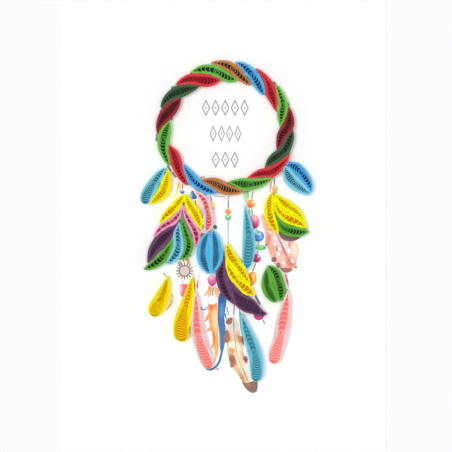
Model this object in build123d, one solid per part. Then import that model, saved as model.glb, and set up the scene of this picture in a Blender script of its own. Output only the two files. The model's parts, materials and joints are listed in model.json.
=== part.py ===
# Quilled paper picture of a hoop with hanging drops, built flat on one heavy card.
# Each rolled and pinched strip is one solid: a real spiral wall of paper, standing on the card.
# Units are millimetres. The card lies face up, its picture reads upright along +Y.
import os
from math import cos, pi, sin, sqrt

from build123d import *

os.makedirs("parts", exist_ok=True)

# Driving sizes of the card and the paper strips
card_height = 177.8
card_width = 127.0
card_thickness = 0.4
strip_height = 3.0
paper_thickness = 0.1
squeezed_gap = 0.035
neighbour_gap = 0.1
glue_line = 0.05
ink_thickness = 0.02

# How the turns of a strip open between its two ends and its eye
tip_room = 0.2
cap_length = 1.1
round_cap_length = 2.0
eye_reach = 1.4
eye_end_reach = 0.42
eye_half_width = 0.38
side_step = 2.0
least_step = 0.02
band_share = 0.56
cap_share = 1.05
cap_shares = (0, 0.04, 0.15, 0.34, 0.62, 1)
packed_turns = 3
eye_turns = 1.5
side_samples = 48

# Outlines are read by eye off a picture of the card: (across, down) in pixels
picture_height_px = 452
picture_centre_px = (225.5, 226)

mm_per_px = card_height / picture_height_px
pitch = paper_thickness + squeezed_gap
strip_floor = card_thickness + glue_line


def on_card(point_px):
    across, down = point_px
    return Vector(
        (across - picture_centre_px[0]) * mm_per_px,
        (picture_centre_px[1] - down) * mm_per_px,
    )


# A station is (run along the middle line, middle point, half width, direction across)
def even_points(points_px):
    side = Spline([on_card(point) for point in points_px])
    return [side @ (step / side_samples) for step in range(side_samples + 1)]


def stations_between(first_px, second_px):
    rows = []
    run = 0
    for one, two in zip(even_points(first_px), even_points(second_px)):
        middle = (one + two) * 0.5
        across = one - two
        if rows:
            run += (middle - rows[-1][1]).length
        rows.append([run, middle, across.length / 2 - neighbour_gap / 2, across])
    rows[0][3] = rows[1][3]
    rows[-1][3] = rows[-2][3]
    return [(run, middle, half, across.normalized()) for run, middle, half, across in rows]


def turned_round(rows):
    total = rows[-1][0]
    return [(total - run, middle, half, across) for run, middle, half, across in reversed(rows)]


def station_at(rows, run):
    for near, far in zip(rows, rows[1:]):
        if far[0] >= run:
            break
    share = (run - near[0]) / (far[0] - near[0])
    middle = near[1] + (far[1] - near[1]) * share
    half = near[2] + (far[2] - near[2]) * share
    across = (near[3] + (far[3] - near[3]) * share).normalized()
    return middle, half, across


def run_where_wider(rows, half_width):
    for near, far in zip(rows, rows[1:]):
        if far[2] >= half_width:
            break
    share = (half_width - near[2]) / (far[2] - near[2])
    return near[0] + (far[0] - near[0]) * max(0, min(1, share))


# At a pinched end the outer turns are creased together, at a round end they fan out
def packed_at(turns, pinched):
    return min(packed_turns, turns - 2) if pinched else 0


def is_creased(turn, turns, pinched):
    return pinched and (turn < 1 or turn <= packed_at(turns, pinched))


# How far from this end a turn of the strip comes, and its inner face by its thickness more
def turn_end(rows, eye_run, turn, turns, pinched, wall):
    if turn < 1 or is_creased(turn, turns, pinched):
        reach = run_where_wider(rows, wall + (turn * pitch if turn >= 1 else 0))
        return reach if pinched else max(reach, wall)
    stop = eye_run - eye_reach
    if turn >= turns:
        return stop + (eye_reach - eye_end_reach) * (turn - turns) / eye_turns + wall
    packed = packed_at(turns, pinched)
    start = run_where_wider(rows, packed * pitch) if packed else 0
    reach = start + (stop - start) * (turn - packed) / (turns - packed)
    if pinched:
        reach = max(reach, run_where_wider(rows, turn * pitch + tip_room))
    return reach + wall


# How deep below the outline this half turn runs at a share of the way along the coil
def depth_at(number, share, turns, eye_room):
    if number == 0:
        return 0
    if number == 1:
        return (1 - share) * pitch
    turn = number / 2
    along = share / 2 if number % 2 == 0 else 1 / 2 - share / 2
    if turn < turns:
        return (turn + along) * pitch
    return turns * pitch + (turn - turns + along) * eye_room / eye_turns


def rounding(share):
    return sqrt(1 - (1 - share) ** 3) if share < 1 else 1


# Even half turns follow the first side outwards from the near end, odd ones come back
def half_turn(rows, back_rows, eye_run, number, turns, pinched, wall, eye_room):
    total = rows[-1][0]
    outward = number % 2 == 0
    turn = number / 2
    near_turn = turn if outward else turn + 0.5
    far_turn = turn + 0.5 if outward else turn
    begin = turn_end(rows, eye_run, near_turn, turns, pinched[0], wall)
    finish = total - turn_end(back_rows, total - eye_run, far_turn, turns, pinched[1], wall)
    creased_begin = is_creased(near_turn, turns, pinched[0])
    creased_finish = is_creased(far_turn, turns, pinched[1])
    span = finish - begin

    def room(run):
        return station_at(rows, run)[1] - depth_at(number, run / total, turns, eye_room) - wall

    cap = min(max(cap_length, cap_share * room(begin)), span / 2)
    far_cap = min(max(cap_length, cap_share * room(finish)), span / 2)
    far_soft = far_cap
    if far_turn < 1 and not pinched[1]:
        far_cap = round_cap_length
        far_soft = max(3 * wall, least_step)
    runs = [cap * share for share in cap_shares]
    first_step = int((begin + cap + side_step / 8) / side_step) + 1
    last_step = int((finish - far_cap - side_step / 8) / side_step)
    runs += [side_step * step - begin for step in range(first_step, last_step + 1)]
    runs += [span - far_cap * share for share in reversed(cap_shares)]
    runs = [run for run, after in zip(runs, runs[1:]) if after - run > least_step] + [span]
    side = 1 if outward else -1
    points = []
    for run in runs:
        middle, half, across = station_at(rows, begin + run)
        width = room(begin + run)
        if not creased_begin:
            width *= rounding(run / cap)
        if not creased_finish:
            width *= rounding((span - run) / far_soft)
        if run in (0, span):
            width = 0
        points.append(middle + across * max(width, 0) * side)
    leave = points[1] - points[0] if creased_begin else station_at(rows, begin)[2] * side
    arrive = points[-1] - points[-2] if creased_finish else station_at(rows, finish)[2] * -side
    if not outward:
        points.reverse()
        leave, arrive = -arrive, -leave
    return points, leave, arrive


def wall_path(rows, eye_run, turns, pinched, wall, eye_room):
    back_rows = turned_round(rows)
    path = []
    for number in range(int((turns + eye_turns) * 2)):
        points, leave, arrive = half_turn(
            rows, back_rows, eye_run, number, turns, pinched, wall, eye_room
        )
        if path:
            points[0] = path[-1] @ 1
        path.append(Spline(points, tangents=[leave, arrive], tangent_scalars=[1, 1]))
    return path


def rolled_strip(ends_px, first_px, second_px, eye_px, pinched=(True, True)):
    rows = stations_between(
        [ends_px[0]] + first_px + [ends_px[1]],
        [ends_px[0]] + second_px + [ends_px[1]],
    )
    eye = on_card(eye_px)
    eye_run = min(rows, key=lambda row: (row[1] - eye).length)[0]
    eye_half = station_at(rows, eye_run)[1]
    turns = int(eye_half * band_share / pitch)
    eye_room = eye_half - turns * pitch - eye_half_width
    outer = wall_path(rows, eye_run, turns, pinched, 0, eye_room)
    inner = wall_path(rows, eye_run, turns, pinched, paper_thickness, eye_room)
    inner_end = Line(outer[-1] @ 1, inner[-1] @ 1)
    outer_end = Line(inner[0] @ 0, outer[0] @ 0)
    section = Face(Wire(outer + [inner_end] + inner[::-1] + [outer_end]))
    return extrude(Pos(0, 0, strip_floor) * section, amount=strip_height, dir=(0, 0, 1))


pinched_then_round = (True, False)

# name: ends, first side, second side, eye
coils_px = {
    "hoop_leaf_01": (
        [(210.7, 63), (252, 83.7)],
        [(215, 61), (220, 60.3), (228, 60.8), (236, 65), (243, 72.2), (249, 80.2)],
        [(215, 64.8), (220, 66.9), (225, 69.9), (230, 73.5), (235, 77.5), (242, 82.5), (247, 84.8)],
        (233.5, 69.3),
    ),
    "hoop_leaf_02": (
        [(235.3, 62), (263.8, 94.7)],
        [(240, 61.5), (245, 63), (250, 65.5), (254, 69), (260, 77), (264, 87), (264.8, 92)],
        [(238, 65.5), (241, 69), (244, 73), (250, 81), (255, 88), (258, 91.3), (261, 94)],
        (253.3, 75.5),
    ),
    "hoop_leaf_03": (
        [(255.5, 68), (276.5, 111.7)],
        [(260, 70), (268, 76.5), (274.5, 85), (277, 95), (277.8, 101), (277.3, 106)],
        [(258, 72), (263, 81), (264.5, 86), (265.5, 95), (268, 99.5), (271, 104), (274, 109)],
        (270.5, 88.5),
    ),
    "hoop_leaf_04": (
        [(276, 84.2), (280, 127.5)],
        [(279, 86.5), (284.5, 95), (288, 105), (287.5, 110), (286, 115.5), (283.5, 121)],
        [(276, 90), (277, 96), (277.8, 102), (277.5, 107), (277, 111), (278.3, 121)],
        (281.6, 105),
    ),
    "hoop_leaf_05": (
        [(289, 106.3), (276.7, 149.5)],
        [(291, 110), (294.3, 120), (294.3, 125), (291.5, 131), (285, 139), (279, 148)],
        [(287, 112), (283.5, 122), (280.5, 127.5), (278, 131), (276.7, 136), (276.2, 144)],
        (286.5, 127),
    ),
    "hoop_leaf_06": (
        [(293, 129.8), (265, 167.3)],
        [(294, 136), (292, 147), (288, 154.5), (280, 160.5), (275, 163.3), (270, 165.5)],
        [(291.5, 131), (285, 139), (279, 148), (276, 150.3), (269, 156.5), (265.8, 163)],
        (281, 152.8),
    ),
    "hoop_leaf_07": (
        [(290.4, 153.5), (247.2, 177.5)],
        [(285, 157.4), (280, 161), (275, 164), (270, 166.2), (265, 168), (260, 169), (255, 171.5)],
        [(289, 158.5), (285, 166), (280, 172.5), (274, 177.3), (265, 178), (255, 178.2)],
        (270.5, 171.2),
    ),
    "hoop_leaf_08": (
        [(273.7, 178), (227.3, 182.5)],
        [(265, 178), (255, 178.3), (245, 178), (240, 178.3), (235, 179.5), (231, 180.7)],
        [(270, 181.5), (262, 187), (253, 190), (248, 190.8), (243, 190.5), (236, 187)],
        (250.5, 182.7),
    ),
    "hoop_leaf_09": (
        [(200.7, 180), (243.8, 190.8)],
        [(205, 178.5), (210, 177.5), (218, 178.3), (226, 182.5), (235, 187), (240, 189.3)],
        [(204, 183), (208, 185.5), (216, 191.5), (225, 195), (230, 195.3), (235, 194.8)],
        (219, 185.5),
    ),
    "hoop_leaf_10": (
        [(182.2, 162.8), (216.5, 193.3)],
        [(186, 165.5), (190, 169), (199, 178), (203, 182), (208, 185.5), (213, 189)],
        [(183, 168), (184.3, 173), (186.5, 179), (190, 185), (195, 188.5), (205, 193.5)],
        (193.8, 180.5),
    ),
    "hoop_leaf_11": (
        [(168.5, 144.2), (188, 185.2)],
        [(172, 146.5), (176, 149.5), (181, 158), (183, 168), (184, 173), (187.5, 182)],
        [(168, 150), (169, 156), (170, 162), (172, 168), (178, 178), (185, 184.5)],
        (176.5, 161),
    ),
    "hoop_leaf_12": (
        [(169.7, 120.4), (169, 165.4)],
        [(171, 130), (169.5, 140), (169, 143.5), (168, 150), (169, 156), (170, 162)],
        [(165, 124.3), (161, 129), (157.3, 139), (158, 149), (160, 154), (165.5, 162.5)],
        (163.3, 140),
    ),
    "hoop_leaf_13": (
        [(181.3, 98.3), (157.6, 134.8)],
        [(175, 99.3), (165, 105.8), (161, 110.5), (158, 116), (156.3, 122), (156, 128)],
        [(180.5, 104), (178, 110), (172, 118), (170, 120), (165, 124), (161, 128.5)],
        (167, 113),
    ),
    "hoop_leaf_14": (
        [(199.3, 86.3), (161, 108)],
        [(195, 85.3), (190, 84.7), (180, 85), (171, 89), (165, 95), (162, 100)],
        [(197, 89), (193, 91.5), (185, 96), (175, 99.5), (170, 102), (165, 105.5)],
        (178, 92),
    ),
    "hoop_leaf_15": (
        [(175.3, 84.5), (221.2, 80)],
        [(180, 79), (185, 75.5), (190, 73.8), (200, 73.7), (210, 75.2), (215, 77)],
        [(180, 84.8), (190, 84.3), (195, 84.8), (203, 86.7), (208, 86.7), (218, 82.5)],
        (196.5, 78.7),
    ),
    "hoop_leaf_16": (
        [(190.2, 72.5), (238.5, 79.6)],
        [(194, 69), (202, 65), (210, 64.5), (215, 65.3), (220, 67.4), (225, 70.4), (230, 74)],
        [(195, 73), (200, 73.2), (205, 73.5), (210, 74.6), (220, 79), (225, 81.5), (230, 82.2)],
        (217, 71),
    ),
    "left_pair_blue_drop": (
        [(166, 167.3), (146.5, 203.8)],
        [(158, 170.8), (150, 179), (142.5, 190), (140.3, 197), (142, 202.5)],
        [(162.5, 178), (160, 183), (156.5, 190), (153, 195.5), (149.3, 201.3)],
        (153.5, 184.5),
        pinched_then_round,
    ),
    "left_pair_yellow_leaf": (
        [(167.8, 168.7), (149.5, 204.3)],
        [(170.6, 177), (171, 182), (170.8, 187), (167, 196), (159, 202)],
        [(163, 178), (160.5, 183), (157, 190), (153.5, 195.5), (150.5, 200.5)],
        (164.5, 188.3),
    ),
    "left_fan_yellow_leaf_1": (
        [(184, 194.6), (159.2, 223.5)],
        [(180, 196), (172, 203), (165, 210.5), (162, 215), (159.8, 220)],
        [(184, 200), (182.5, 204), (177, 211.5), (173, 215), (168, 218.5), (163, 222)],
        (174.5, 206),
    ),
    "left_fan_yellow_leaf_2": (
        [(185.8, 193.7), (201.3, 230)],
        [(192, 201), (198, 208.5), (200.5, 213), (202, 218), (202.3, 226)],
        [(184.2, 199), (184.7, 204), (186.5, 209), (189.5, 214), (195, 222.5), (198.3, 226.5)],
        (192, 211),
    ),
    "left_fan_pink_leaf_1": (
        [(183, 203.5), (153.5, 238)],
        [(181, 207), (178, 210.8), (169, 218.3), (160, 224.8), (155, 231.5)],
        [(182, 211), (178.5, 220.5), (175, 224), (165, 229), (156.5, 236)],
        (172, 221.5),
    ),
    "left_fan_pink_leaf_2": (
        [(183.7, 204.5), (196, 246)],
        [(186, 209.8), (189.5, 215.3), (193, 220.5), (199, 230), (200.3, 236), (198.7, 243)],
        [(183, 213), (184.3, 218), (186.8, 224), (191.8, 234), (193.3, 239), (194, 243)],
        (192.3, 226.5),
    ),
    "left_fan_purple_leaf": (
        [(179, 222), (147.5, 263)],
        [(175, 224.8), (165, 230), (156, 236.5), (150.5, 244), (147.3, 255)],
        [(177, 225.5), (172.5, 236), (166, 245), (156, 255.5), (151, 260.5)],
        (157.5, 243.8),
    ),
    "left_fan_green_leaf_1": (
        [(172.7, 236), (143.4, 269.3)],
        [(172.4, 241), (171, 251), (166.5, 260.5), (158, 267), (148, 270)],
        [(168.5, 242.7), (164, 247.7), (158.5, 253.3), (153, 259), (147, 265)],
        (163.4, 255),
    ),
    "left_fan_blue_leaf": (
        [(179, 220), (167, 264.3)],
        [(180.3, 227), (182.8, 239), (183.4, 247), (181.5, 255), (174, 262)],
        [(176.5, 226), (174, 231), (173.2, 237), (172.6, 247), (171.2, 252), (167.3, 261)],
        (178, 245),
    ),
    "left_fan_green_leaf_2": (
        [(181.5, 212.3), (179.3, 259.7)],
        [(183, 219), (186, 225), (191, 236), (193, 241), (193.3, 246), (190, 255), (185, 259)],
        [(180.3, 219), (180.8, 226), (183.3, 239), (184, 247), (182.3, 254)],
        (187.8, 239.5),
    ),
    "rose_leaf": (
        [(193.3, 188.4), (205.3, 232.5)],
        [(202, 193.5), (206, 196), (211, 205), (213.5, 216), (213, 226)],
        [(198, 198), (200.5, 203), (202, 209), (202.9, 215), (203.5, 222), (204, 228)],
        (207, 212),
    ),
    "middle_blue_leaf_1": (
        [(208.7, 232.6), (210.6, 274)],
        [(209.5, 240), (209, 247), (209, 255), (209.5, 262), (210.4, 268)],
        [(204, 234.5), (198.5, 243), (196.3, 254), (199, 265), (206, 272.5)],
        (203.5, 253),
    ),
    "middle_blue_leaf_2": (
        [(212.6, 229.6), (211.2, 274)],
        [(215.5, 232), (220.5, 241), (222.8, 252), (220, 264), (213.5, 272)],
        [(210.3, 236), (209.8, 242), (209.5, 250), (209.7, 258), (210.8, 268)],
        (216, 251.3),
    ),
    "right_pair_blue_leaf": (
        [(286, 165), (311.3, 192)],
        [(288.5, 162.8), (295.5, 162), (303, 167), (309.5, 176), (312.7, 186)],
        [(291, 170), (296, 175), (301, 180.5), (306, 186)],
        (300, 173.3),
    ),
    "right_pair_pale_blue_leaf": (
        [(285.3, 165.5), (311.1, 192.6)],
        [(290.7, 170.3), (295.7, 175.3), (300.7, 180.8), (305.7, 186.3)],
        [(282.7, 173), (285, 182), (292, 189.5), (302, 194), (310, 194)],
        (295.3, 183),
    ),
    "right_fan_yellow_leaf_1": (
        [(272, 191.8), (278.6, 234.3)],
        [(273.3, 197), (273.7, 203), (275, 215), (277.7, 226.5)],
        [(269, 195), (264.5, 204), (264.2, 214), (267.5, 224), (275, 232)],
        (269, 211),
    ),
    "right_fan_yellow_leaf_2": (
        [(273.3, 192), (306.8, 225.5)],
        [(283, 197.3), (288, 200), (293, 203.3), (301, 211), (305, 220)],
        [(277, 200), (280.5, 206), (285.5, 210.5), (291, 213.5), (301, 219.5)],
        (291.5, 207.8),
    ),
    "right_fan_yellow_leaf_3": (
        [(274, 194.5), (307.2, 228.7)],
        [(276.7, 200.3), (280.2, 206.4), (285.2, 211), (291, 214), (301, 220)],
        [(274.3, 203), (275.3, 210.9), (277.5, 215.3), (283.4, 221.2), (290.7, 224.5)],
        (283.7, 214.9),
    ),
    "right_fan_green_leaf": (
        [(275.3, 212.4), (309, 231.1)],
        [(277.3, 215.9), (283, 221.7), (290.5, 225), (299.5, 227.7)],
        [(277.5, 223.4), (279.7, 231.4), (290.7, 236.6), (298, 236.9), (306.1, 233.6)],
        (286, 228),
    ),
    "centre_yellow_leaf_1": (
        [(227.3, 242.3), (250.5, 284.7)],
        [(230.5, 247), (236.5, 255.5), (242.5, 264), (247.3, 273), (250, 280)],
        [(225.5, 248), (226.3, 259), (232, 266.5), (240, 276), (246, 281.7)],
        (236.3, 264.7),
    ),
    "centre_yellow_leaf_2": (
        [(225.8, 256.7), (254.3, 296)],
        [(226.5, 260.3), (231.5, 267), (239.5, 276.5), (246, 282.3), (250.5, 286), (253.5, 291)],
        [(226.2, 269), (230, 278.5), (237, 287), (245, 294)],
        (238, 280),
    ),
    "centre_purple_leaf_1": (
        [(223.8, 252.3), (234.2, 305)],
        [(225.2, 260), (225.3, 268), (227, 280), (230, 290), (232.5, 299)],
        [(223.2, 258), (221, 264), (217.4, 269.3), (215.3, 275), (216.3, 282), (220, 292), (228, 300.5)],
        (221.5, 281),
    ),
    "centre_purple_leaf_2": (
        [(226.5, 273), (267, 313.5)],
        [(229, 278), (232, 283), (240, 291.7), (245, 295.3), (254, 300), (260.5, 308)],
        [(227.5, 280), (230.5, 290), (234.8, 304.5), (243, 311.5), (255, 315), (263, 316.3)],
        (235, 293),
    ),
    "lower_green_leaf_1": (
        [(266.5, 267.8), (277.3, 302)],
        [(269, 272), (271, 277), (272.5, 283), (274.5, 289), (276.3, 295)],
        [(264, 272), (261.2, 284), (262.3, 291), (267.5, 299), (274, 302.5)],
        (267.4, 287.3),
    ),
    "lower_green_leaf_2": (
        [(267, 265.8), (279.7, 301)],
        [(273, 266), (280, 271), (283.8, 280), (285.8, 290), (283, 298.5)],
        [(269.5, 271.5), (271.5, 276.5), (273, 282.5), (275, 288.5), (277, 295)],
        (278, 282),
    ),
    "drop_blue_long": (
        [(244.4, 204.5), (247.5, 268.7)],
        [(247, 210), (251.8, 223), (255, 237), (255.3, 251), (251.5, 264)],
        [(243.7, 212), (242.8, 230), (242.2, 250), (242.3, 259), (244.3, 266)],
        (249, 237),
        pinched_then_round,
    ),
    "drop_yellow_small": (
        [(167.7, 275.7), (155, 316.8)],
        [(169.5, 281), (169.8, 293), (167.3, 303.5), (162, 312.5)],
        [(164, 280.5), (157.5, 291), (150.5, 302), (148, 310), (151, 315.5)],
        (160.3, 298.8),
        pinched_then_round,
    ),
    "drop_yellow_large": (
        [(191.7, 277), (182, 341.8)],
        [(194, 288), (193, 300), (190.5, 318), (188.9, 331), (186.5, 339.5)],
        [(189, 282), (182, 299), (177, 311), (173, 327), (175, 337.5)],
        (186.5, 311.5),
        pinched_then_round,
    ),
    "drop_rose_left": (
        [(195, 289.5), (208.5, 369)],
        [(197.5, 296), (201.5, 315), (205.5, 337), (209.5, 350), (212.8, 361), (212.5, 366.5)],
        [(193.5, 300), (191.5, 315), (190.7, 331), (194, 346), (199.5, 360.5), (204, 366.8)],
        (198, 337),
        pinched_then_round,
    ),
    "drop_rose_right": (
        [(288, 289), (274.5, 363.8)],
        [(290.6, 302), (290.3, 318), (287.7, 335), (283.3, 351), (279.3, 360.5)],
        [(283, 301), (276, 321), (273, 338), (268.5, 354), (269.5, 361.5)],
        (281, 333),
        pinched_then_round,
    ),
    "drop_blue_lower": (
        [(242, 313.3), (255.8, 382)],
        [(248.5, 325), (257.5, 342), (262, 355), (263.5, 367), (260.8, 378.5)],
        [(241, 325), (245.5, 346), (249.3, 362), (250.3, 373), (252.3, 379.5)],
        (255, 353),
        pinched_then_round,
    ),
}


# The picture printed on the card between the strips, as flat fields of ink
def field(*points_px):
    return Face(Wire(Spline([on_card(point) for point in points_px], periodic=True)))


def patch(*points_px):
    return Face(Wire(Polyline([on_card(point) for point in points_px], close=True)))


def feather(tip_px, first_px, root_px, second_px):
    first = Spline([on_card(point) for point in [tip_px] + first_px + [root_px]])
    second = Spline([on_card(point) for point in [root_px] + second_px + [tip_px]])
    return Face(Wire([first, second]))


# A bead or spot fills the box between its corners, and may lean
def bead(left_top_px, right_bottom_px, lean=0):
    corner = on_card(left_top_px)
    other = on_card(right_bottom_px)
    middle = (corner + other) / 2
    oval = Ellipse((other.X - corner.X) / 2, (corner.Y - other.Y) / 2)
    return Pos(middle.X, middle.Y) * Rot(0, 0, lean) * oval.face()


def disc(centre_px, radius_px):
    centre = on_card(centre_px)
    return Pos(centre.X, centre.Y) * Circle(radius_px * mm_per_px).face()


def thread(start_px, end_px, width_px):
    start = on_card(start_px)
    end = on_card(end_px)
    across = (end - start).normalized().rotate(Axis.Z, 90) * width_px * mm_per_px / 2
    corners = [start + across, end + across, end - across, start - across]
    return Face(Wire(Polyline(corners, close=True)))


def line_of_threads(points_px, width_px):
    return [thread(one, two, width_px) for one, two in zip(points_px, points_px[1:])]


def rays(centre_px, inner_px, outer_px, width_px):
    found = []
    for number in range(ray_count):
        angle = 2 * pi * number / ray_count
        start = (centre_px[0] + inner_px * cos(angle), centre_px[1] + inner_px * sin(angle))
        end = (centre_px[0] + outer_px * cos(angle), centre_px[1] + outer_px * sin(angle))
        found.append(thread(start, end, width_px))
    return found


def lozenge(middle_px, half_width_px, half_height_px):
    across, down = middle_px
    return patch(
        (across - half_width_px, down),
        (across, down - half_height_px),
        (across + half_width_px, down),
        (across, down + half_height_px),
    )


# A plain ornament in the hoop: rows of thin-lined lozenges with a dot in each
def lozenge_row(row_px, count):
    left, top, right, bottom = row_px
    step = (right - left) / count
    half_width = step * lozenge_width_share / 2
    half_height = (bottom - top) / 2
    found = []
    for number in range(count):
        middle = (left + step * (number + 1 / 2), top + half_height)
        inner = lozenge(middle, half_width * lozenge_open_share, half_height * lozenge_open_share)
        found.append(lozenge(middle, half_width, half_height) - inner)
        found.append(disc(middle, step * lozenge_dot_share))
    return found


thread_px = 1.3
strand_px = 2.2
leaning = 25
ray_count = 16
ornament_rows_px = [(201, 99, 249.5, 116), (209, 125, 242, 142), (211, 151, 239.5, 168)]
ornament_counts = [5, 4, 3]
lozenge_width_share = 0.86
lozenge_open_share = 0.72
lozenge_dot_share = 0.09

# A rayed disc hangs at the left: its fill, its ring and its rays
rayed_disc_px = (184.5, 271)
fill_radius_px = 3.8
ring_inner_px = 4.4
ring_outer_px = 5.8
ray_outer_px = 8.8

salmon_feather = feather(
    (263.5, 213.5),
    [(260.5, 217), (262, 225), (264.8, 232), (265.6, 243), (268.3, 250), (272, 259.5), (278.5, 268)],
    (287, 271.3),
    [(295, 267), (297.8, 257), (298.6, 247), (291, 239), (281.5, 233), (270.5, 225.5), (266, 219)],
)
white_spots = [
    bead((269.1, 230.8), (271.5, 233.8)),
    bead((273.7, 236.6), (276.1, 239.2)),
    bead((274, 242.3), (276, 245.7), leaning),
    bead((278.2, 246.8), (280.6, 251), leaning),
    bead((276.8, 251.6), (279.8, 256.4), leaning),
    bead((287.2, 248.4), (290.6, 253.8), leaning),
    bead((291, 258.6), (293.8, 263.4), leaning),
    bead((282.8, 260.8), (285.4, 265.4), leaning),
]
salmon_ink = [salmon_feather - white_spots]
orange_ink = [
    feather(
        (208, 303.5),
        [(208.3, 312), (209, 322), (211.6, 331), (213.2, 345), (214.6, 356)],
        (213, 364.5),
        [(217.2, 356), (218.6, 345), (218.2, 335), (217.4, 320), (217.4, 308), (216.6, 303)],
    ),
    feather((214, 287), [(214.6, 292), (216, 296.6)], (218.4, 300), [(219.4, 294), (217.4, 288.5)]),
    patch((208.8, 285.5), (207, 291.5), (203.6, 296), (205, 296.6), (209.5, 291.5), (212, 288)),
    patch((211, 289), (209, 293.5), (207.8, 297.2), (209, 297.4), (211.2, 293.6), (212.2, 289)),
    patch((209, 311), (204.4, 321.6), (205.6, 322.2), (209.8, 317)),
    patch((210.8, 325.5), (206, 331.3), (207.2, 332.1), (211.6, 330)),
    patch((213.2, 341.5), (210.7, 348.5), (212, 349), (213.8, 346)),
    feather((184.5, 257.8), [(187.6, 263.2)], (191.3, 267.4), [(190.2, 262.6), (187.8, 257.6)]),
    patch((192, 272.4), (192.6, 278), (193.8, 285), (194.4, 291), (195.4, 283), (194.4, 275)),
    feather((170.8, 293.8), [(170, 302)], (165.5, 311), [(170.6, 306.6), (173.6, 298), (172.8, 294.4)]),
    bead((225.1, 208.6), (231.2, 214.7)),
    bead((246.6, 199.4), (255, 208)),
    field((248.6, 277), (250.5, 272.5), (254.5, 272), (256.6, 277), (254.5, 284.5), (250.5, 285.5)),
    field((272.3, 189), (273.8, 185.9), (276.8, 186.4), (277.8, 190), (275.5, 193.5)),
]
blue_ink = [
    feather(
        (220.5, 292),
        [(218.2, 300), (217.9, 310), (217.8, 322), (219.2, 335), (219.8, 348)],
        (222, 355.4),
        [(224.4, 346), (225.6, 337), (225.4, 327), (224.4, 317), (226.4, 303), (224.8, 294)],
    ),
    patch((226.2, 307), (228.2, 315.6), (229, 315.2), (227.4, 307.6)),
    patch((224.2, 314), (226, 319.8), (226.9, 319.5), (225.6, 313)),
    bead((180, 189.4), (184.4, 193.8)),
    field((190.4, 192.4), (192.6, 190.6), (195.2, 194.2), (197, 198), (193, 199.1), (190.3, 197)),
    bead((253.6, 231.1), (264.2, 241.8)),
    patch((188, 252), (190.5, 252.5), (191, 256.5), (188.6, 257)),
] + line_of_threads(
    [(221.6, 353), (219.8, 361), (217, 366), (213, 369.3), (209, 370.2), (206, 368.6), (205.3, 366.6)],
    strand_px,
)
cream_ink = [
    feather(
        (233.4, 315.5),
        [(227, 323), (225.8, 335), (227, 349), (231.5, 366), (239.4, 377.5), (247, 387.6)],
        (254.4, 390),
        [(252, 380.6), (247.6, 370), (243.8, 354), (240.2, 335), (238, 322.5)],
    ),
    disc((212.5, 205.5), strand_px * 2),
    disc((212, 300.6), strand_px * 2),
]
brown_ink = [
    feather((279.2, 231.5), [(281.6, 238.6), (289, 241.4)], (301.5, 236.6), [(291, 234.6), (283.6, 231.5)]),
    bead((265, 243.4), (267.6, 246)),
    bead((271.4, 257), (276.8, 262.4)),
    bead((276.4, 262.8), (280.8, 267.8)),
    feather((280, 267.4), [(284.4, 272.6)], (292.6, 270.6), [(289.4, 268.2), (284.6, 268)]),
    bead((294.8, 266), (297.2, 268.6)),
    field((226.2, 323.6), (227.6, 319), (231.6, 317.8), (232.4, 321.6), (229.6, 324.8)),
    field((225, 334), (227.4, 330.4), (229.4, 336), (228.4, 342), (225.4, 343)),
    field((229, 357), (231.8, 354.6), (235, 358), (234.6, 365.6), (231, 368), (229.6, 362)),
    field((239.6, 336.4), (242.2, 336.6), (243.8, 343.4), (244, 346.6), (241.4, 343.4)),
    field((243.6, 357), (246, 356), (247.8, 361.4), (247, 363.8), (244.6, 361.6)),
    feather((241.4, 380.4), [(246, 389), (252.6, 393.4)], (257.2, 391), [(254.6, 381), (249.6, 382.6)]),
]
green_ink = [
    bead((225.1, 214.4), (231.3, 220.8)),
    field((213.3, 226), (215.5, 225), (217.4, 227), (215.5, 229.3)),
    bead((255.3, 245), (266.3, 250.4)),
    feather((242.5, 192.5), [(244, 199)], (246, 204.5), [(248.5, 199), (248.7, 193)]),
    feather((249.6, 208.2), [(248.3, 211.6)], (249.9, 215.4), [(251, 211.6)]),
    feather((239.2, 309.5), [(239.2, 318), (241.2, 333)], (245.6, 350), [(243.8, 334), (242.6, 318)]),
]
pink_ink = [
    field((249.8, 218), (252.6, 214.6), (256.6, 215.2), (259.3, 221), (258, 227), (254.6, 228.8)),
    field((207.4, 279.4), (209.4, 275.8), (213, 275), (215.8, 279), (215.4, 284.4), (212.4, 286.8)),
    field((179.2, 288), (181, 284.4), (183.6, 284.2), (186.8, 284), (185.8, 290), (182.4, 297.2)),
    feather((271.5, 180.6), [(269.7, 187)], (270, 193), [(271.7, 187)]),
    patch((284.8, 273.6), (286.2, 281), (289, 288.4), (288.6, 281), (286.6, 274)),
    patch((200.6, 268.4), (197.8, 280), (196.2, 286), (197.8, 290), (198.2, 286), (199, 280)),
    disc(rayed_disc_px, fill_radius_px),
]
crimson_ink = [
    bead((252.2, 254), (261, 262.8)),
    bead((253.8, 311), (264, 320.6)),
    disc((217.4, 369.3), thread_px),
]
peach_ink = [
    feather((178.6, 181), [(176.4, 188), (173.6, 195)], (172.4, 200.6), [(176, 196), (180.8, 187)]),
    feather((198.2, 199), [(196.4, 204)], (200.2, 214), [(200.6, 204)]),
    feather((201.6, 232.7), [(200.2, 234.8)], (203, 236.6), [(206, 234.6)]),
    feather((189.8, 322), [(188.6, 332)], (187, 341.4), [(190.8, 334)]),
    bead((177.6, 261.4), (181.8, 266)),
]
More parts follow.
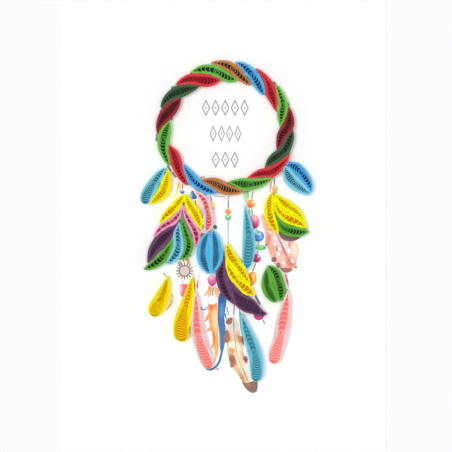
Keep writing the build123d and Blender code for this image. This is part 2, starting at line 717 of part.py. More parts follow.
grey_ink = (
    [
        thread((228.3, 195.5), (228.4, 208.2), thread_px),
        thread((228.2, 221.2), (228.4, 243), thread_px),
        thread((182.6, 184), (182.3, 189), thread_px),
        thread((195.3, 199.8), (195.5, 206), thread_px),
        thread((210.3, 195.6), (211.8, 201), thread_px),
        thread((253, 191.5), (251.7, 199), thread_px),
        thread((251.6, 208.4), (252.6, 214.2), thread_px),
        thread((256.8, 229.2), (257.4, 230.8), thread_px),
        thread((258.4, 242.2), (258.6, 244.6), thread_px),
        thread((257.8, 250.8), (257.6, 253.6), thread_px),
        thread((255.8, 263.3), (252.6, 271.6), thread_px),
        thread((274.5, 178.5), (274.4, 185.5), thread_px),
        thread((163.4, 273.2), (166.2, 276.8), thread_px),
        thread((183.6, 259.8), (183.4, 262), thread_px),
        thread((182.2, 280.4), (182.6, 283.6), thread_px),
        thread((213.2, 287.4), (212.5, 295.8), thread_px),
        thread((234.4, 305), (233.6, 315), thread_px),
        thread((263, 320.4), (264.9, 324), thread_px),
        thread((255.3, 295.5), (260, 304.5), strand_px),
        disc(rayed_disc_px, ring_outer_px) - disc(rayed_disc_px, ring_inner_px),
        thread((171, 87.5), (175.5, 86.2), strand_px),
        thread((160.2, 112), (161.5, 109.6), strand_px),
        thread((156.5, 134), (156.2, 141), strand_px),
        thread((170.3, 118), (172.5, 119.5), strand_px),
        thread((167, 165), (171, 171), strand_px),
        thread((172, 172), (176, 177.5), strand_px),
        thread((200, 177.6), (205, 177), strand_px),
        thread((214, 195.8), (225, 196.6), thread_px),
        thread((243.5, 191.7), (250, 191.6), thread_px),
        thread((273.6, 81.5), (275.8, 84), strand_px),
        thread((287.6, 102.5), (289, 105.5), strand_px),
    ]
    + line_of_threads([(208.2, 306.6), (206, 309.4), (203, 310.2), (201.2, 309), (201.4, 307)], thread_px)
    + rays(rayed_disc_px, ring_inner_px, ray_outer_px, thread_px)
)
for row_px, count in zip(ornament_rows_px, ornament_counts):
    grey_ink += lozenge_row(row_px, count)

# Each later colour is left clear in the ones before it
prints = {
    "print_salmon": salmon_ink,
    "print_orange": orange_ink,
    "print_cream": cream_ink,
    "print_blue": blue_ink,
    "print_peach": peach_ink,
    "print_green": green_ink,
    "print_pink": pink_ink,
    "print_crimson": crimson_ink,
    "print_brown": brown_ink,
    "print_grey": grey_ink,
}
above = []
for name, shapes in reversed(list(prints.items())):
    colour = Sketch() + shapes
    flat = colour
    for other in above:
        flat = flat - other
    above.append(colour)
    ink = extrude(Pos(0, 0, card_thickness) * flat, amount=ink_thickness, dir=(0, 0, 1))
    export_step(ink, f"parts/{name}.step")

card = extrude(Rectangle(card_width, card_height), amount=card_thickness)
export_step(card, "parts/card.step")

for name, outline in coils_px.items():
    export_step(rolled_strip(*outline), f"parts/{name}.step")
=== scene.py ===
import bpy
import bmesh
import json
import math
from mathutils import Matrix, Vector, noise
from mathutils.bvhtree import BVHTree
from mathutils.kdtree import KDTree


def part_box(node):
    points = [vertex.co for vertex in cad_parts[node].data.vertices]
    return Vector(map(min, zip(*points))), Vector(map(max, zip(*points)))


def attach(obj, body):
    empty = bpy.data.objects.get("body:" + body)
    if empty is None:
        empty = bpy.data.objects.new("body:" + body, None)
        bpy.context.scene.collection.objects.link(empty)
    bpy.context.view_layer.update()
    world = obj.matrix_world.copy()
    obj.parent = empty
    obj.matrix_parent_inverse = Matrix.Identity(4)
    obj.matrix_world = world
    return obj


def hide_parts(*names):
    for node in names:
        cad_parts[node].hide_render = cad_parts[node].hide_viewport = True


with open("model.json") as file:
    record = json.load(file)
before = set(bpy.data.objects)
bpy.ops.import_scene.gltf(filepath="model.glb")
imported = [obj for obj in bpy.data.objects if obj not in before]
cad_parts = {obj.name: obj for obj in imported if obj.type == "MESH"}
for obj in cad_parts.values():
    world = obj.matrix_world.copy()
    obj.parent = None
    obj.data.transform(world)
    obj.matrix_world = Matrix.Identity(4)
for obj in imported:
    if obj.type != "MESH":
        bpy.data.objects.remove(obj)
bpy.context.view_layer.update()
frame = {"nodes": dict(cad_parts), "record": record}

mm = 0.001
cardLow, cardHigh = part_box("card")
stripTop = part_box("hoop_leaf_01")[1][2]
picturePx = 452  # the photograph's height, which is the card's full height
cardCentrePx = (225.5, 226)
pxSize = (cardHigh[1] - cardLow[1]) / picturePx
white = (1, 1, 1, 1)


# Colours are written as they look on screen, 0 to 255, and the shaders take them by the screen's curve
def toLinear(rgb):
    return tuple(v / 3294.6 if v <= 10 else ((v / 255 + 0.055) / 1.055) ** 2.4 for v in rgb) + (1,)


# A shader socket that takes part in plain sums
class Wire:
    def __init__(self, tree, socket):
        self.tree = tree
        self.socket = socket

    def maths(self, operation, first, second):
        node = self.tree.nodes.new("ShaderNodeMath")
        node.operation = operation
        for slot, value in zip(node.inputs, (first, second)):
            if isinstance(value, Wire):
                self.tree.links.new(value.socket, slot)
            else:
                slot.default_value = value
        return Wire(self.tree, node.outputs[0])

    def __add__(self, other):
        return self.maths("ADD", self, other)

    def __radd__(self, other):
        return self.maths("ADD", other, self)

    def __mul__(self, other):
        return self.maths("MULTIPLY", self, other)

    def __rmul__(self, other):
        return self.maths("MULTIPLY", other, self)


# A material, its Principled shader, and the nodes that feed it
class Finish:
    def __init__(self, name):
        self.material = bpy.data.materials.new(name)
        self.material.use_nodes = True
        self.tree = self.material.node_tree
        self.shader = self.tree.nodes["Principled BSDF"]

    def put(self, slot, value):
        if isinstance(value, Wire):
            self.tree.links.new(value.socket, slot)
        else:
            slot.default_value = value

    def node(self, kind, settings, output, **sockets):
        made = self.tree.nodes.new(kind)
        for key, value in settings.items():
            setattr(made, key, value)
        for key, value in sockets.items():
            self.put(made.inputs[key.replace("_", " ")], value)
        return Wire(self.tree, made.outputs[output])

    def place(self):
        return self.node("ShaderNodeTexCoord", {}, "Object")

    def grain(self, scale, detail, where=None, output="Fac"):
        where = where or self.place()
        return self.node("ShaderNodeTexNoise", {}, output, Vector=where, Scale=scale, Detail=detail)

    def fade(self, value, low, high, toLow=0.0, toHigh=1.0):
        ends = {"From_Min": low, "From_Max": high, "To_Min": toLow, "To_Max": toHigh}
        return self.node("ShaderNodeMapRange", {"clamp": True}, "Result", Value=value, **ends)

    def vectorMaths(self, operation, output, *values):
        made = self.tree.nodes.new("ShaderNodeVectorMath")
        made.operation = operation
        for slot, value in zip(made.inputs, values):
            self.put(slot, value)
        return Wire(self.tree, made.outputs[output])

    def blend(self, factor, one, two):  # 6 and 7 are the Mix node's colours, and 2 is its colour out
        made = self.tree.nodes.new("ShaderNodeMix")
        made.data_type = "RGBA"
        self.put(made.inputs[0], factor)
        self.put(made.inputs[6], one)
        self.put(made.inputs[7], two)
        return Wire(self.tree, made.outputs[2])

    def feed(self, name, value):
        self.put(self.shader.inputs[name], value)

    def bump(self, value, distance, strength):
        sockets = {"Height": value, "Distance": distance, "Strength": strength}
        self.feed("Normal", self.node("ShaderNodeBump", {}, "Normal", **sockets))

    def dress(self, piece):
        piece.data.materials.clear()
        piece.data.materials.append(self.material)


# The camera looks straight down, and the card's height fills the frame
cameraSet = {"distance": 1.2, "centrePx": (226, 226), "sensor": 36.0, "near": 0.01, "far": 10}


def placeCamera():
    made = bpy.data.cameras.new("camera")
    made.sensor_width = cameraSet["sensor"]
    made.lens = cameraSet["sensor"] * cameraSet["distance"] / (picturePx * pxSize)
    made.clip_start = cameraSet["near"]
    made.clip_end = cameraSet["far"]
    camera = bpy.data.objects.new("camera", made)
    bpy.context.collection.objects.link(camera)
    across = (cameraSet["centrePx"][0] - cardCentrePx[0]) * pxSize
    down = (cameraSet["centrePx"][1] - cardCentrePx[1]) * pxSize
    camera.location = (across, -down, stripTop + cameraSet["distance"])
    bpy.context.scene.camera = camera
    print("camera placed")


# Even light from all round, a wide lamp from above, and a soft one from the left that throws the
# short shadows. Each lamp has its strength, then its tilt, turn and softness in degrees
lightSet = {
    "world": 0.34,
    "seen": 1.0,  # the white that the camera sees behind the floor
    "lamps": {
        "overhead": (1.45, 0, 0, 50),
        "left": (0.78, -24.6, -12, 20),
    },
}


def placeLights():
    scene = bpy.context.scene
    scene.view_settings.view_transform = "Standard"
    world = bpy.data.worlds.new("studio")
    scene.world = world
    world.use_nodes = True
    tree = world.node_tree
    around = tree.nodes["Background"]
    seen = tree.nodes.new("ShaderNodeBackground")
    for background, strength in ((around, lightSet["world"]), (seen, lightSet["seen"])):
        background.inputs["Color"].default_value = white
        background.inputs["Strength"].default_value = strength
    path = tree.nodes.new("ShaderNodeLightPath")
    mix = tree.nodes.new("ShaderNodeMixShader")
    tree.links.new(path.outputs["Is Camera Ray"], mix.inputs[0])
    tree.links.new(around.outputs[0], mix.inputs[1])
    tree.links.new(seen.outputs[0], mix.inputs[2])
    tree.links.new(mix.outputs[0], tree.nodes["World Output"].inputs["Surface"])
    for name, (strength, tilt, turn, soft) in lightSet["lamps"].items():
        lamp = bpy.data.lights.new(name, "SUN")
        lamp.energy = strength
        lamp.angle = math.radians(soft)
        holder = bpy.data.objects.new(name, lamp)
        bpy.context.collection.objects.link(holder)
        holder.rotation_euler = (0, math.radians(tilt), math.radians(turn))
    print("lights placed")


floorSet = {"size": 3.0, "drop": 0.1, "colour": (249, 249, 250), "roughness": 0.9}


def layFloor():
    bpy.ops.mesh.primitive_plane_add(size=floorSet["size"], location=(0, 0, -floorSet["drop"] * mm))
    floor = bpy.context.active_object
    floor.name = "floor"
    bpy.ops.object.transform_apply(location=True)
    finish = Finish("floor")
    finish.feed("Base Color", toLinear(floorSet["colour"]))
    finish.feed("Roughness", floorSet["roughness"])
    finish.dress(floor)
    print("floor laid")


cardSet = {
    "light": (255, 255, 254),
    "dark": (250, 250, 250),
    "fibres": 900,
    "detail": 4,
    "roughness": (0.75, 0.9),
    "relief": 0.02,
    "bump": 0.3,
}


def dressCard():
    finish = Finish("cardStock")
    fibres = finish.grain(cardSet["fibres"], cardSet["detail"])
    finish.feed("Base Color", finish.blend(fibres, toLinear(cardSet["dark"]), toLinear(cardSet["light"])))
    finish.feed("Roughness", finish.fade(fibres, 0, 1, *cardSet["roughness"]))
    finish.bump(fibres, cardSet["relief"] * mm, cardSet["bump"])
    finish.dress(frame["nodes"]["card"])
    print("card dressed")


# Each strip's paper colour, the painted shade of its inner turns, and the painted shade that stands for
# the dim light deep between the turns
paperColours = {
    "red_paper": {"paper": (224, 66, 74), "inner": (194, 46, 58), "between": (124, 14, 34)},
    "orange_brown_paper": {"paper": (204, 132, 78), "inner": (184, 120, 72), "between": (46, 34, 22)},
    "blue_paper": {"paper": (90, 182, 236), "inner": (72, 160, 216), "between": (14, 54, 102)},
    "light_green_paper": {"paper": (118, 192, 80), "inner": (98, 174, 72), "between": (18, 52, 18)},
    "dark_red_paper": {"paper": (156, 54, 62), "inner": (128, 44, 52), "between": (48, 14, 20)},
    "dark_green_paper": {"paper": (76, 102, 76), "inner": (62, 88, 64), "between": (26, 40, 28)},
    "yellow_paper": {"paper": (255, 255, 0), "inner": (252, 232, 0), "between": (194, 128, 0)},
    "pink_paper": {"paper": (254, 160, 196), "inner": (222, 126, 164), "between": (146, 40, 76)},
    "purple_paper": {"paper": (118, 74, 114), "inner": (98, 62, 94), "between": (50, 30, 50)},
    "pale_blue_paper": {"paper": (134, 212, 240), "inner": (114, 196, 214), "between": (52, 132, 148)},
    "rose_paper": {"paper": (255, 218, 224), "inner": (255, 200, 196), "between": (236, 116, 106)},
}
deepGreen = {"paper": (102, 178, 64), "inner": (90, 162, 58), "between": (14, 44, 14)}
middleBlue = {"paper": (96, 194, 240), "inner": (88, 184, 234), "between": (2, 18, 60)}
# The colours between the turns given here are painted shade too, lighter or darker as a coil lies more
# open or closer
ownColours = {  # strips that are deeper, or lie more open or closer, than the rest of their colour
    "left_pair_blue_drop": {"between": (24, 94, 114)},
    "left_fan_blue_leaf": {"between": (26, 90, 106)},
    "left_fan_green_leaf_1": deepGreen,
    "left_fan_green_leaf_2": deepGreen,
    "right_fan_green_leaf": deepGreen,
    "lower_green_leaf_1": {"paper": (102, 178, 64), "inner": (96, 170, 60), "between": (4, 20, 4)},
    "lower_green_leaf_2": deepGreen,
    "right_pair_pale_blue_leaf": {"between": (16, 80, 100)},
    "right_pair_blue_leaf": {"paper": (78, 176, 234), "between": (10, 46, 98)},
    "middle_blue_leaf_1": middleBlue,
    "middle_blue_leaf_2": middleBlue,
    "centre_purple_leaf_2": {"between": (72, 44, 74)},
    "drop_yellow_small": {"paper": (255, 240, 0), "inner": (255, 228, 0), "between": (176, 104, 0)},
    "drop_yellow_large": {"paper": (255, 240, 0), "inner": (255, 226, 0), "between": (204, 142, 0)},
    "rose_leaf": {"paper": (253, 208, 217), "inner": (248, 170, 170), "between": (208, 80, 80)},
}
# The painted shade of the inner turns comes in between these two depths from the coil's rim, in mm
leafRim = (0.6, 1.3)
ownRims = {"drop": (0.25, 0.9), "left_pair_blue": (0.3, 0.9)}
paperSet = {
    "fibres": 2600,
    "fibreDetail": 3,
    "patches": 240,
    "patchDetail": 2,
    "lighter": 1.16,
    "darker": 0.92,
    "roughness": (0.75, 0.92),
    "shine": 0.1,
    "relief": 0.015,
    "bump": 0.4,
}


def paperFinish(name, colour, inner=None, rim=None):
    finish = Finish(name)
    fibres = finish.grain(paperSet["fibres"], paperSet["fibreDetail"])
    patches = finish.grain(paperSet["patches"], paperSet["patchDetail"])
    base = toLinear(colour)[:3]
    light = tuple(min(1, v * paperSet["lighter"]) for v in base) + (1,)
    dark = tuple(v * paperSet["darker"] for v in base) + (1,)
    look = finish.blend(fibres * 0.5 + patches * 0.5, dark, light)
    # Painted shade: the paper darkens to the inner colour with depth from the coil's rim, standing for
    # the gaps' shading
    if inner:
        depth = finish.node("ShaderNodeAttribute", {"attribute_name": "depth"}, "Fac")
        look = finish.blend(finish.fade(depth, *rim), look, toLinear(inner))
    finish.feed("Base Color", look)
    finish.feed("Roughness", finish.fade(fibres, 0, 1, *paperSet["roughness"]))
    finish.feed("Specular IOR Level", paperSet["shine"])
    finish.bump(fibres, paperSet["relief"] * mm, paperSet["bump"])
    return finish


# Lengths in mm, shares and counts
stripSet = {
    "merge": 0.0005,
    "thinning": 0.5,  # the share of its triangles that a copy keeps
    "wallSlope": 0.5,  # a face whose normal rises or falls by less than this is part of the wall
    "swell": 0.045,  # the outer wall swells by this much
    "innerSwell": 0.1,  # and the others by this much at most, or by a share of the gap to the next turn
    "innerShare": 0.42,
    "lookFrom": 0.002,  # the next wall is looked for from this far outside
    "reach": 4,
    "touchReach": 0.6,  # strips that lie closer than this swell towards each other
    "touchShare": 0.47,
    "topBand": 0.1,  # what lies this near the strip's top edge is uneven
    "uneven": 0.06,
    "unevenSize": 0.7,
    "betweenDepth": 0.55,
    "betweenInset": 0.1,
    "betweenRoom": 2.2,  # the sheet stops where the coil is narrower than this many insets
    "betweenSteps": 40,
}


# The level way out of the paper's wall at this point
def outwardOf(vert):
    outward = Vector((0, 0, 0))
    for face in vert.link_faces:
        if abs(face.normal.z) < stripSet["wallSlope"]:
            outward += face.normal * face.calc_area()
    outward.z = 0
    return outward.normalized()


# A thin sheet low between the turns is painted shade: its colour stands for the dim, tinted light
# deep in the gaps. It runs along the coil in steps, and at each it spans the coil but for an inset at its
# two sides
def paintedShadeSheet(mesh, points):
    middle = sum(points, Vector((0, 0))) / len(points)
    spread = [point - middle for point in points]
    twist = sum(2 * v.x * v.y for v in spread)
    angle = math.atan2(twist, sum(v.x * v.x - v.y * v.y for v in spread)) / 2
    along = Vector((math.cos(angle), math.sin(angle)))
    across = Vector((-along.y, along.x))
    runs = [v.dot(along) for v in spread]
    low = min(runs)
    step = (max(runs) - low) / stripSet["betweenSteps"]
    rows = {}
    for run, offset in zip(runs, spread):
        rows.setdefault(int((run - low) / step), []).append(offset.dot(across))
    inset = stripSet["betweenInset"] * mm
    near, far = [], []
    for number, sides in sorted(rows.items()):
        if max(sides) - min(sides) > stripSet["betweenRoom"] * inset:
            place = middle + along * (low + (number + 0.5) * step)
            near.append(place + across * (min(sides) + inset))
            far.append(place + across * (max(sides) - inset))
    level = stripTop - stripSet["betweenDepth"] * mm
    lower = [mesh.verts.new((point.x, point.y, level)) for point in near]
    upper = [mesh.verts.new((point.x, point.y, level)) for point in far]
    for corners in zip(lower, lower[1:], upper[1:], upper):
        mesh.faces.new(corners).material_index = 1


# A copy of the rolled strip, thinned out
def copyStrip(node, finishes):
    data = frame["nodes"][node].data.copy()
    data.materials.clear()
    for finish in finishes:
        data.materials.append(finish.material)
    piece = bpy.data.objects.new(node + "_paper", data)
    bpy.context.collection.objects.link(piece)
    mesh = bmesh.new()
    mesh.from_mesh(data)
    bmesh.ops.remove_doubles(mesh, verts=mesh.verts, dist=stripSet["merge"] * mm)
    mesh.to_mesh(data)
    mesh.clear()
    thinner = piece.modifiers.new("thinner", "DECIMATE")
    thinner.ratio = stripSet["thinning"]
    mesh.from_object(piece, bpy.context.evaluated_depsgraph_get())
    piece.modifiers.clear()
    mesh.normal_update()
    return piece, mesh


# One tree of all the strips' walls, and the strip that each of its faces is of
def wallsOf(strips):
    points, faces, owners = [], [], []
    for number, (piece, mesh) in enumerate(strips):
        first = len(points)
        points += [vert.co.copy() for vert in mesh.verts]
        mesh.verts.index_update()
        for face in mesh.faces:
            faces.append([first + vert.index for vert in face.verts])
            owners.append(number)
    return BVHTree.FromPolygons(points, faces), owners


# How far the wall swells here, and whether it is the coil's outer wall
def swellOf(number, vert, outward, walls, owners):
    halfway = (stripTop + cardHigh[2]) / 2
    start = Vector((vert.co.x, vert.co.y, halfway)) + outward * stripSet["lookFrom"] * mm
    face, gap = walls.ray_cast(start, outward, stripSet["reach"] * mm)[2:]
    if face is None:
        return stripSet["swell"] * mm, True
    if owners[face] == number:
        return min(stripSet["innerSwell"] * mm, gap * stripSet["innerShare"]), False
    if gap < stripSet["touchReach"] * mm:
        return gap * stripSet["touchShare"], True
    return stripSet["swell"] * mm, True


# The paper swells a little, the heights of its turns are uneven, and each point knows how deep in
# the coil it lies, in mm
def rollStrip(number, piece, mesh, walls, owners):
    moves, rim = [], []
    for vert in mesh.verts:
        outward = outwardOf(vert)
        swell, isOuter = swellOf(number, vert, outward, walls, owners)
        moves.append(outward * swell)
        if isOuter:
            rim.append((vert.co.x, vert.co.y, 0))
    outline = KDTree(len(rim))
    for place, point in enumerate(rim):
        outline.insert(point, place)
    outline.balance()
    depth = mesh.verts.layers.float.new("depth")
    for vert, move in zip(mesh.verts, moves):
        vert[depth] = outline.find((vert.co.x, vert.co.y, 0))[2] / mm
        vert.co += move
        if vert.co.z > stripTop - stripSet["topBand"] * mm:
            where = Vector((vert.co.x, vert.co.y, 0)) / (stripSet["unevenSize"] * mm)
            vert.co.z -= (noise.noise(where) + 1) / 2 * stripSet["uneven"] * mm
    for face in mesh.faces:
        face.material_index = 0
    paintedShadeSheet(mesh, [vert.co.xy for vert in mesh.verts])
    mesh.normal_update()
    mesh.to_mesh(piece.data)
    mesh.free()


# Strips of the same colours share their two finishes: the paper's, with the painted shade of its inner
# turns, and the painted shade of the sheet between the turns
def finishesOf(row, made):
    colours = paperColours[row["material_slot"]] | ownColours.get(row["node"], {})
    rim = next((ends for start, ends in ownRims.items() if row["node"].startswith(start)), leafRim)
    key = (rim,) + tuple(colours.values())
    if key not in made:
        name = row["material_slot"]
        paper = paperFinish(name, colours["paper"], colours["inner"], rim)
        # The second finish is the painted shade on the sheet between the turns
        made[key] = [paper, paperFinish(name + "_between", colours["between"])]
    return made[key]


def dressStrips():
    rows = [row for row in frame["record"]["subparts"] if row["material_slot"] in paperColours]
    made = {}
    strips = [copyStrip(row["node"], finishesOf(row, made)) for row in rows]
    walls, owners = wallsOf(strips)
    print("strips copied, triangles:", len(owners))
    for number, (row, (piece, mesh)) in enumerate(zip(rows, strips)):
        rollStrip(number, piece, mesh, walls, owners)
        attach(piece, "root")
        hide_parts(row["node"])
    print("strips dressed:", len(strips))


# Each ink is a wash between two strengths of its colour. Marks are soft ovals and strokes over the
# wash: from, to and half width in picture pixels, colour, and how soft their rim is
washes = {
    "print_salmon": {
        "wash": ((240, 160, 144), (251, 206, 192)),
        "marks": [
            ((263, 213), (262, 230), 4, (251, 190, 164), 0.5),
            ((261, 218), (262.5, 228), 1.2, (255, 226, 208), 0.6),
            ((270, 231), (267.5, 246), 2.2, (235, 140, 120), 0.6),
            ((276, 231), (278, 250), 4.6, (250, 214, 214), 0.5),
            ((272.5, 244), (275.5, 256), 2.4, (246, 178, 156), 0.6),
            ((284, 236), (287, 251), 4.4, (247, 220, 224), 0.5),
            ((294, 242), (295.5, 258), 3.4, (253, 234, 212), 0.5),
            ((279, 255), (288, 266), 4, (250, 206, 190), 0.6),
            ((287, 259), (293.5, 268), 3.6, (235, 136, 116), 0.6),
            ((290, 242), (289.6, 247), 1.4, (242, 146, 140), 0.6),
            ((277, 246), (277.4, 252), 1, (214, 110, 128), 0.6),
            ((283, 248), (285, 254), 1.4, (244, 150, 150), 0.6),
            ((276.6, 233.5), (288.6, 259.6), 0.65, (170, 108, 112), 0.5),
            ((290.4, 260), (292, 264), 0.7, (190, 104, 92), 0.6),
        ],
    },
    "print_orange": {
        "wash": ((248, 146, 78), (253, 186, 116)),
        "marks": [
            ((212, 303), (212.6, 311), 3.6, (250, 120, 66), 0.4),
            ((214.6, 309), (215, 333), 2.6, (254, 228, 168), 0.5),
            ((212.8, 329), (214, 347), 1.6, (250, 130, 70), 0.5),
            ((217.2, 324), (217, 358), 1.1, (252, 186, 108), 0.5),
            ((214.4, 346), (214.8, 362), 1.4, (252, 200, 140), 0.5),
            ((217.4, 289), (217, 300), 1.8, (253, 206, 156), 0.5),
            ((185, 258), (188, 262), 2, (236, 164, 92), 0.5),
            ((193, 273), (194.2, 284), 1.4, (252, 208, 152), 0.5),
            ((194.4, 284), (194.4, 292), 1, (222, 120, 84), 0.5),
            ((172.4, 294), (171.8, 301), 1.3, (253, 214, 150), 0.5),
            ((170.6, 296), (166, 311), 0.9, (196, 100, 66), 0.5),
            ((228, 208), (228, 215), 3.2, (253, 152, 76), 0.4),
            ((229.4, 209.6), (230.4, 211), 0.8, (255, 244, 224), 0.6),
            ((247, 206), (254, 206.6), 1.8, (240, 116, 44), 0.6),
            ((252.2, 201.6), (253.6, 203), 0.8, (255, 244, 224), 0.6),
            ((250, 273), (250.6, 285), 1.5, (248, 130, 54), 0.5),
            ((253.8, 274), (253.6, 280), 0.9, (254, 224, 160), 0.6),
            ((274.2, 187.4), (275, 188.4), 0.7, (255, 236, 206), 0.6),
        ],
    },
    "print_blue": {
        "wash": ((44, 98, 158), (80, 132, 184)),
        "marks": [
            ((221, 291), (221, 304), 2.4, (46, 98, 158), 0.5),
            ((221.6, 305), (221.4, 318), 2.2, (86, 154, 220), 0.5),
            ((219, 303), (218.4, 318), 0.7, (52, 104, 166), 0.5),
            ((220.6, 326), (222, 329.6), 1, (52, 136, 214), 0.6),
            ((222.4, 330), (221.8, 354), 2.4, (92, 122, 164), 0.6),
            ((219, 330), (220, 348), 0.7, (132, 174, 214), 0.5),
            ((257.4, 231), (260.4, 242), 5, (88, 150, 236), 0.4),
            ((255, 232.4), (257.6, 234.4), 1.4, (196, 222, 250), 0.6),
            ((259.4, 236.6), (262.6, 238), 1.4, (128, 178, 248), 0.6),
            ((255.6, 240.4), (259.4, 241.4), 1.2, (48, 98, 182), 0.6),
            ((259.2, 233), (260.8, 235), 1.1, (254, 254, 255), 0.4),
            ((181, 190.2), (183.4, 190.6), 1.1, (196, 228, 242), 0.6),
            ((190.6, 192), (191, 198), 1.5, (150, 206, 210), 0.4),
            ((188, 252), (190, 257), 1.6, (92, 184, 194), 0.5),
            ((210, 370), (216, 368), 1.2, (86, 120, 146), 0.6),
        ],
    },
    "print_cream": {
        "wash": ((252, 234, 198), (255, 247, 228)),
        "marks": [
            ((229, 320), (233, 331), 3.4, (226, 214, 210), 0.5),
            ((236, 317), (238.4, 332), 2.4, (232, 212, 202), 0.6),
            ((226, 331), (229, 345), 4.2, (208, 132, 88), 0.7),
            ((236, 333), (243, 345), 3.2, (216, 138, 90), 0.7),
            ((243, 352), (249, 364), 3.4, (206, 130, 84), 0.7),
            ((229, 353), (235, 369), 4.4, (208, 122, 66), 0.7),
            ((230.4, 342), (233, 348), 2.8, (255, 250, 216), 0.5),
            ((228.4, 350), (236, 351.6), 2.4, (240, 156, 92), 0.6),
            ((236.2, 338), (237.6, 341), 1.4, (252, 194, 122), 0.6),
            ((240, 330), (241.6, 336), 1, (232, 156, 96), 0.6),
            ((242, 346), (246, 354), 1.4, (214, 140, 90), 0.6),
            ((235.6, 350), (239.6, 366), 1.2, (255, 250, 206), 0.6),
            ((240.6, 356), (243, 366), 2, (246, 212, 190), 0.6),
            ((246.6, 364), (250, 374), 1.2, (214, 146, 106), 0.6),
            ((235.6, 366), (239.6, 373), 1.8, (250, 206, 150), 0.6),
            ((244, 370), (249, 380), 1.6, (250, 222, 200), 0.6),
            ((239, 372), (245, 384), 2.6, (222, 138, 80), 0.7),
            ((233.6, 316), (234, 334), 0.5, (130, 126, 122), 0.5),
            ((233.8, 330), (236.6, 354), 0.45, (176, 164, 136), 0.5),
            ((236.2, 350), (241, 368), 0.4, (190, 182, 156), 0.5),
            ((241.6, 366), (249.6, 385), 0.5, (128, 124, 116), 0.5),
            ((208.6, 203), (216, 204), 2.6, (255, 234, 172), 0.6),
            ((209.6, 208.6), (215.6, 208.6), 1.5, (252, 204, 124), 0.6),
            ((207.8, 300.6), (216.2, 300.6), 4.5, (254, 254, 254), 0.15),
        ],
    },
    "print_peach": {
        "wash": ((251, 222, 196), (253, 236, 216)),
        "marks": [
            ((180, 180), (177.4, 189), 2, (251, 194, 116), 0.5),
            ((176.4, 190), (173.6, 201), 2, (253, 240, 150), 0.5),
            ((200, 234.8), (206.4, 234.4), 2.4, (202, 162, 62), 0.3),
            ((177, 263.6), (182.4, 263.8), 3, (198, 160, 152), 0.3),
        ],
    },
    "print_green": {
        "wash": ((104, 190, 104), (140, 210, 130)),
        "marks": [
            ((225, 217.6), (231.4, 217.6), 3.4, (116, 204, 134), 0.3),
            ((227.6, 215.8), (229, 216.6), 1, (228, 250, 218), 0.6),
            ((256, 247.6), (258.6, 247.6), 2, (152, 220, 110), 0.6),
            ((258.6, 246.6), (263.6, 247), 0.9, (160, 224, 140), 0.6),
            ((264, 248), (266, 248), 1.6, (84, 168, 84), 0.6),
            ((213, 226), (217.6, 227.6), 2.6, (72, 128, 86), 0.3),
            ((242.6, 192), (247.6, 205), 3.4, (192, 226, 172), 0.4),
            ((250, 208), (250.4, 216), 1.6, (196, 226, 180), 0.4),
            ((239.8, 308), (244.6, 350), 2, (142, 198, 190), 0.5),
            ((240, 309), (240.6, 315), 1.6, (104, 172, 118), 0.6),
        ],
    },
    "print_pink": {
        "wash": ((226, 84, 142), (240, 122, 168)),
        "marks": [
            ((250, 217), (258, 217.4), 3.2, (247, 182, 208), 0.6),
            ((252, 226.6), (258, 226), 2.4, (190, 40, 102), 0.6),
            ((255.2, 218.6), (255.8, 220), 0.8, (250, 232, 242), 0.6),
            ((208, 277), (214.6, 277), 2.8, (246, 196, 224), 0.6),
            ((209.6, 284.6), (214.8, 284.6), 2.2, (228, 70, 142), 0.6),
            ((180, 285), (181.6, 293), 1.8, (254, 206, 220), 0.6),
            ((184.6, 285.6), (183, 295), 1.6, (244, 108, 150), 0.6),
            ((271.4, 180), (270.2, 194), 1.6, (236, 156, 176), 0.4),
            ((200.8, 268), (198.4, 280), 1.2, (232, 204, 228), 0.5),
            ((180, 271), (189, 271), 4.6, (228, 198, 196), 0.3),
        ],
    },
    "print_crimson": {
        "wash": ((200, 58, 108), (220, 84, 136)),
        "marks": [
            ((254, 261), (259.6, 261.6), 1.4, (170, 36, 88), 0.6),
            ((258, 255.6), (259.2, 257.4), 0.85, (255, 240, 246), 0.5),
            ((216.4, 369.3), (218.4, 369.3), 1, (243, 150, 200), 0.4),
        ],
    },
    "print_brown": {
        "wash": ((140, 100, 88), (168, 124, 106)),
        "marks": [
            ((280, 234.6), (301.6, 238), 4.6, (118, 96, 98), 0.4),
            ((270, 260), (282, 266), 4.4, (164, 108, 104), 0.3),
            ((280, 269.6), (293, 270), 2.4, (172, 112, 108), 0.3),
            ((225, 337), (229, 336), 5, (180, 116, 86), 0.3),
            ((231, 353), (233.6, 366), 4, (206, 138, 94), 0.3),
            ((231.6, 357), (232.6, 363), 1.8, (140, 98, 80), 0.8),
            ((241, 335), (243.6, 346), 3.6, (212, 146, 104), 0.3),
            ((242, 338), (243.4, 343), 1.4, (124, 84, 72), 0.8),
            ((244, 355), (247.4, 364), 3, (196, 138, 100), 0.3),
            ((245, 358), (246.4, 362), 1.3, (100, 80, 76), 0.8),
            ((245.4, 383), (250.6, 385.6), 1.6, (178, 124, 84), 0.6),
            ((252.4, 386), (256.6, 391), 1.8, (130, 116, 108), 0.6),
        ],
    },
    "print_grey": {
        "wash": ((136, 132, 128), (164, 158, 154)),
        "marks": [
            ((225, 133), (226, 133), 68.5, (188, 188, 186), 0.01),
            ((179, 133), (271, 133), 46, (140, 154, 160), 0.01),
            ((212, 196), (228, 197), 2.6, (190, 190, 188), 0.3),
            ((175, 271), (194, 271), 9.6, (148, 122, 110), 0.04),
            ((228.2, 222), (228.4, 262), 2, (206, 206, 206), 0.5),
            ((254.6, 294), (260.6, 305.6), 2.4, (112, 108, 132), 0.3),
            ((181, 283.6), (184, 280.4), 3, (196, 198, 192), 0.3),
        ],
    },
}
washSet = {
    "wander": 0.9,  # the rims of the marks wander by this many pixels
    "wanderSize": 0.9,
    "wanderDetail": 2,
    "pooling": 0.35,
    "poolDetail": 3,
    "poolEdges": (0.35, 0.65),
    "roughness": 0.82,
}


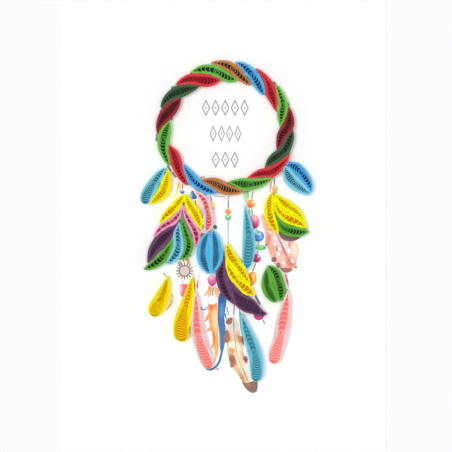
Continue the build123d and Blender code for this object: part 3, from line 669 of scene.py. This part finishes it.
def washInk(name, wash, marks):
    finish = Finish(name)
    back = washSet["wander"] / 2
    toPx = (1 / pxSize, -1 / pxSize, 0)
    shift = (cardCentrePx[0] - back, cardCentrePx[1] - back, 0)
    px = finish.vectorMaths("MULTIPLY_ADD", "Vector", finish.place(), toPx, shift)
    drift = finish.grain(washSet["wanderSize"], washSet["wanderDetail"], px, "Color")
    px = finish.vectorMaths("MULTIPLY_ADD", "Vector", drift, (washSet["wander"],) * 2 + (0,), px)
    pools = finish.grain(washSet["pooling"], washSet["poolDetail"], px)
    colour = finish.blend(finish.fade(pools, *washSet["poolEdges"]), *map(toLinear, wash))
    for start, end, half, tint, soft in marks:
        run = Vector(end) - Vector(start)
        middle = (Vector(start) + Vector(end)) / 2
        local = finish.node(
            "ShaderNodeMapping",
            {"vector_type": "TEXTURE"},
            "Vector",
            Vector=px,
            Location=(middle.x, middle.y, 0),
            Rotation=(0, 0, math.atan2(run.y, run.x)),
            Scale=(max(run.length / 2, half / 2), half, 1),
        )
        reach = finish.vectorMaths("LENGTH", "Value", local)
        colour = finish.blend(finish.fade(reach, 1 - soft, 1 + soft, 1, 0), colour, toLinear(tint))
    finish.feed("Base Color", colour)
    finish.feed("Roughness", washSet["roughness"])
    return finish


def dressPrint():
    for name, ink in washes.items():
        washInk(name, ink["wash"], ink["marks"]).dress(frame["nodes"][name])
    print("print dressed")


placeCamera()
placeLights()
layFloor()
dressCard()
dressPrint()
dressStrips()

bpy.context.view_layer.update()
